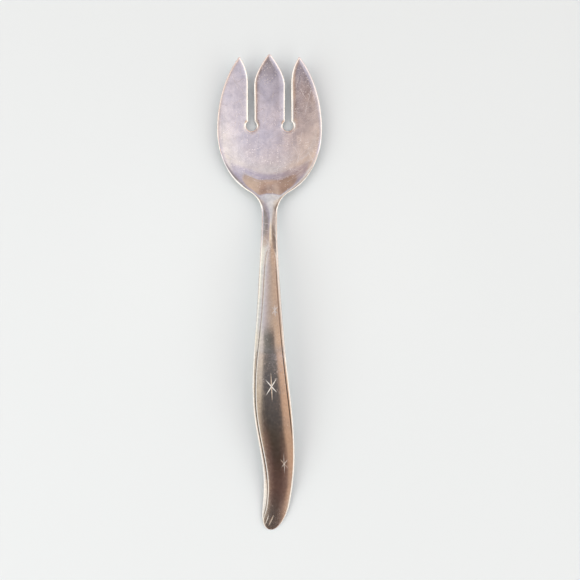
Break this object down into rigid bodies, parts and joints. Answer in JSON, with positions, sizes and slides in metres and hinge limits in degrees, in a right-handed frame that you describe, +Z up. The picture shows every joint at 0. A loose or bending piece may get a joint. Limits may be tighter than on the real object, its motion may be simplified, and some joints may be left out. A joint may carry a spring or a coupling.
{
  "type": "serving fork",
  "caption": "Pressed stainless serving fork: shallow dished head with keyhole-slotted tines, ridged neck and curved handle with a raised, bordered panel.",
  "frame": {"origin": "on the table plane, under the middle of the fork's bounding box", "axes": "+Y from the handle end to the tines, +Z up out of the dished face, +X to the right seen from above"},
  "size_m": [0.0482, 0.219, 0.0161],
  "materials": {
    "steel": "satin-polished stainless steel with fine scratches from use"
  },
  "bodies": {
    "root": {"serving_fork": "steel"}
  },
  "joints": []
}
